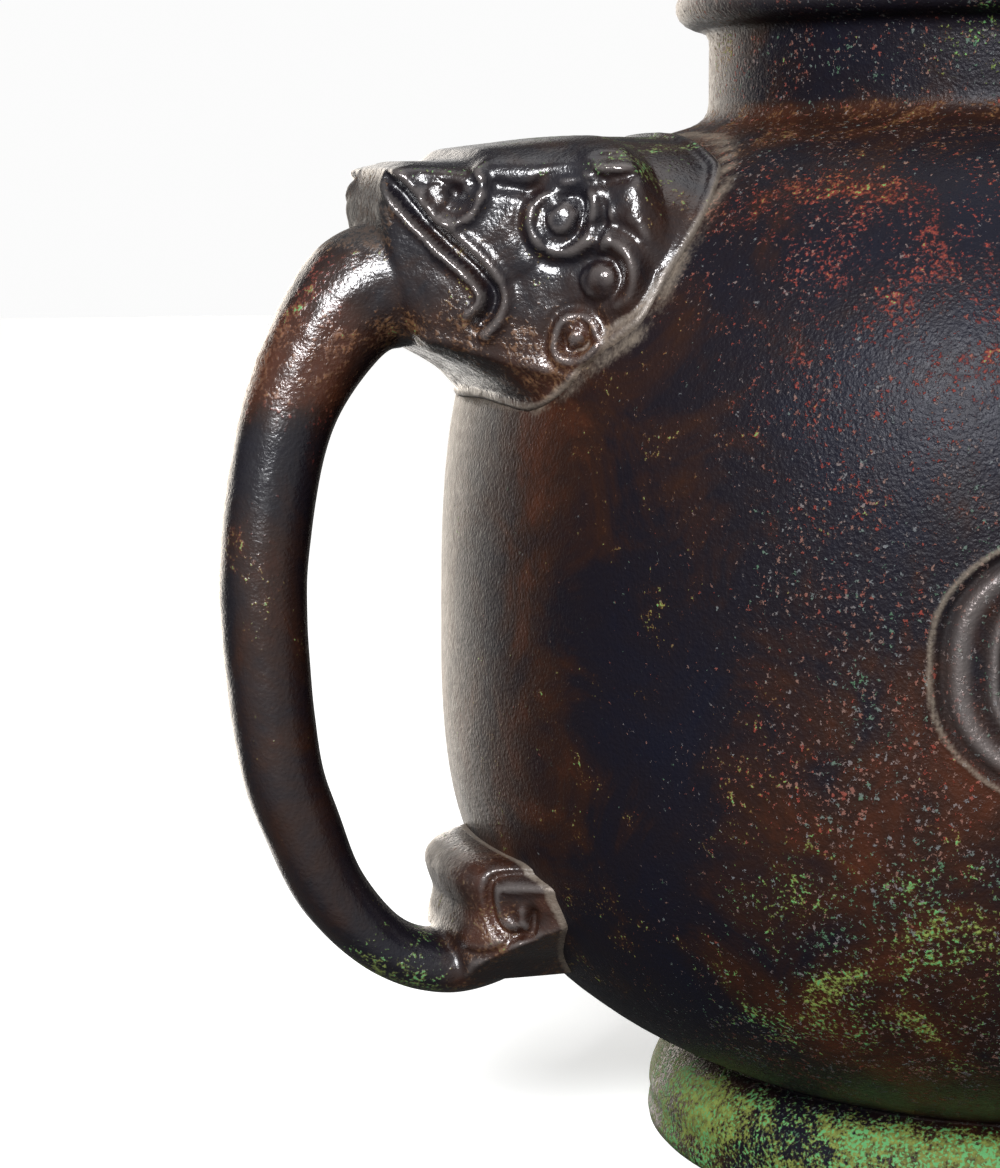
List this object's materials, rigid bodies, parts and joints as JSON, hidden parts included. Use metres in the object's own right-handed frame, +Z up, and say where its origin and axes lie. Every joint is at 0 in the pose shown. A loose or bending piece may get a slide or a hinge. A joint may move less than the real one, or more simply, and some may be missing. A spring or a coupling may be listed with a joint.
{
  "type": "bronze ewer",
  "caption": "Round cast bronze ewer on a ring foot, with a rolled rim, framed side panels, a curved spout and a beast-head loop handle.",
  "frame": {"origin": "middle of the foot's resting plane, on the vessel's axis", "axes": "+Z up, +X toward the spout, -X toward the handle, the framed panels face -Y and +Y"},
  "size_m": [0.2533, 0.182, 0.1773],
  "materials": {
    "vessel_bronze": "dark patinated cast bronze with green, red and ochre patches",
    "handle_bronze": "dark brown patinated cast bronze, rubbed satin on the loop and head",
    "spout_bronze": "dark patinated cast bronze"
  },
  "bodies": {
    "root": {"vessel": "vessel_bronze", "handle": "handle_bronze", "spout": "spout_bronze"}
  },
  "joints": []
}
